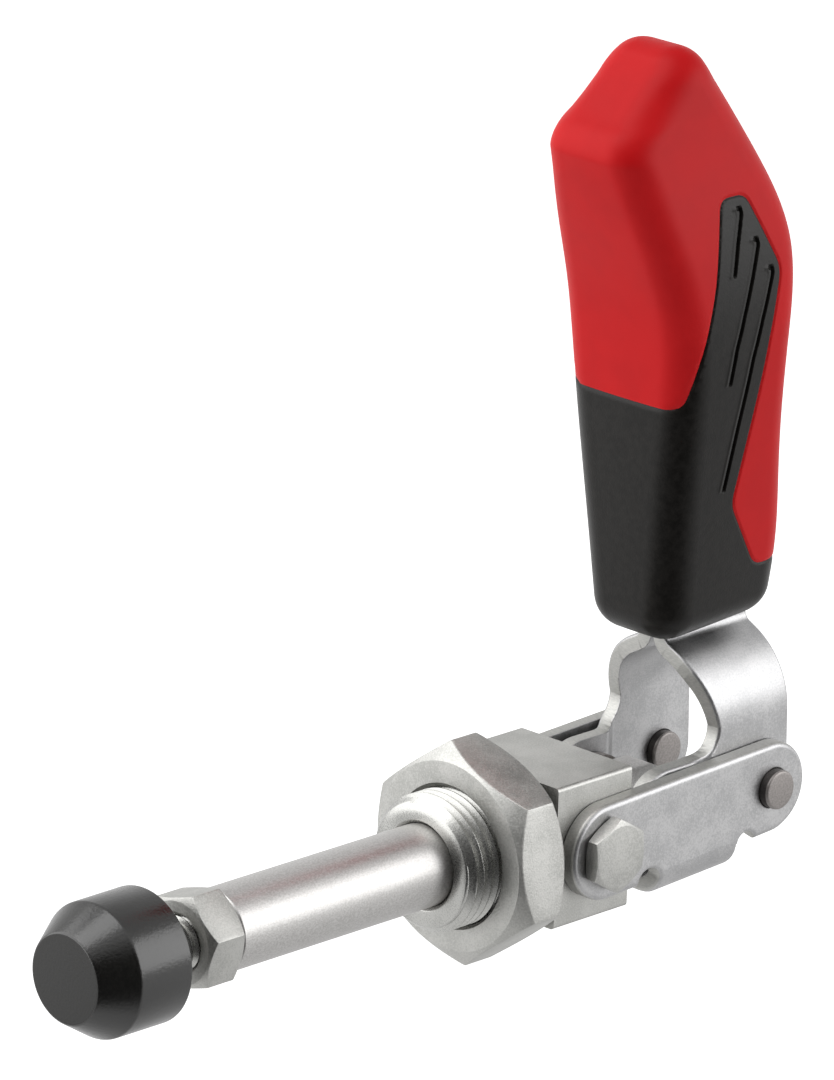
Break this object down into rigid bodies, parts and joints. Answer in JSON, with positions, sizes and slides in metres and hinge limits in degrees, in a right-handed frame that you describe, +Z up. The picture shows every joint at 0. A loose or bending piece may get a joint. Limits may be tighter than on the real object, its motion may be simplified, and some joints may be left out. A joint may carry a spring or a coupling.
{
  "type": "push-pull toggle clamp",
  "caption": "Straight-line toggle clamp with an upright soft grip, a nut-mounted threaded neck and a rubber-capped clamping screw.",
  "frame": {"origin": "on the plunger's axis, in the plane of the guide body's front face where the threaded neck begins", "axes": "+X along the plunger to the rubber cap, +Z up along the grip, +Y to the left seen from behind, across the pivots"},
  "size_m": [0.133, 0.0322, 0.1281],
  "materials": {
    "zinc_steel": "zinc plated, satin",
    "rod_steel": "ground, satin bright",
    "plain_steel": "plain",
    "black_rubber": "matt, fine grain",
    "grip_black": "fine texture",
    "grip_red": "soft touch"
  },
  "bodies": {
    "base": {"guide_body": "zinc_steel", "pivot_bolt_near": "zinc_steel", "pivot_bolt_far": "zinc_steel", "pivot_bush_near": "rod_steel", "pivot_bush_far": "rod_steel"},
    "nut": {"mounting_nut": "zinc_steel"},
    "yoke": {"link_yoke": "zinc_steel", "link_rivet_near": "plain_steel", "link_rivet_far": "plain_steel"},
    "lever": {"lever_plate_near": "zinc_steel", "lever_plate_far": "zinc_steel", "grip_core": "grip_black", "grip_shell": "grip_red"},
    "ram": {"plunger": "rod_steel", "plunger_pin": "plain_steel", "pin_spacer_near": "plain_steel", "pin_spacer_far": "plain_steel"},
    "tip": {"clamping_screw": "zinc_steel", "rubber_cap": "black_rubber"},
    "locknut": {"jam_nut": "zinc_steel"}
  },
  "joints": [
    {"name": "yoke_pivot", "type": "hinge", "parent": "base", "child": "yoke", "pos_m": [-0.0079, 0, 0], "axis": [0, -1, 0], "range_deg": [0, 5.5]},
    {"name": "lever_swing", "type": "hinge", "parent": "yoke", "child": "lever", "pos_m": [-0.0422, 0, 0.00165], "axis": [0, -1, 0], "range_deg": [0, 174.5]},
    {"name": "plunger_slide", "type": "slide", "parent": "base", "child": "ram", "axis": [1, 0, 0], "range_m": [-0.0324, 0]},
    {"name": "screw_adjust", "type": "slide", "parent": "ram", "child": "tip", "axis": [1, 0, 0], "range_m": [-0.0064, 0.015]},
    {"name": "jam_nut_turn", "type": "hinge", "parent": "ram", "child": "locknut", "pos_m": [0.0566, 0, 0], "axis": [1, 0, 0], "continuous": true},
    {"name": "mounting_nut_travel", "type": "slide", "parent": "base", "child": "nut", "axis": [1, 0, 0], "range_m": [-0.0013, 0.0055]}
  ],
  "couplings": [
    {"joint": "yoke_pivot", "follows": "lever_swing", "ratio": 0.031517},
    {"joint": "plunger_slide", "follows": "lever_swing", "m_per_rad": -0.010639}
  ]
}
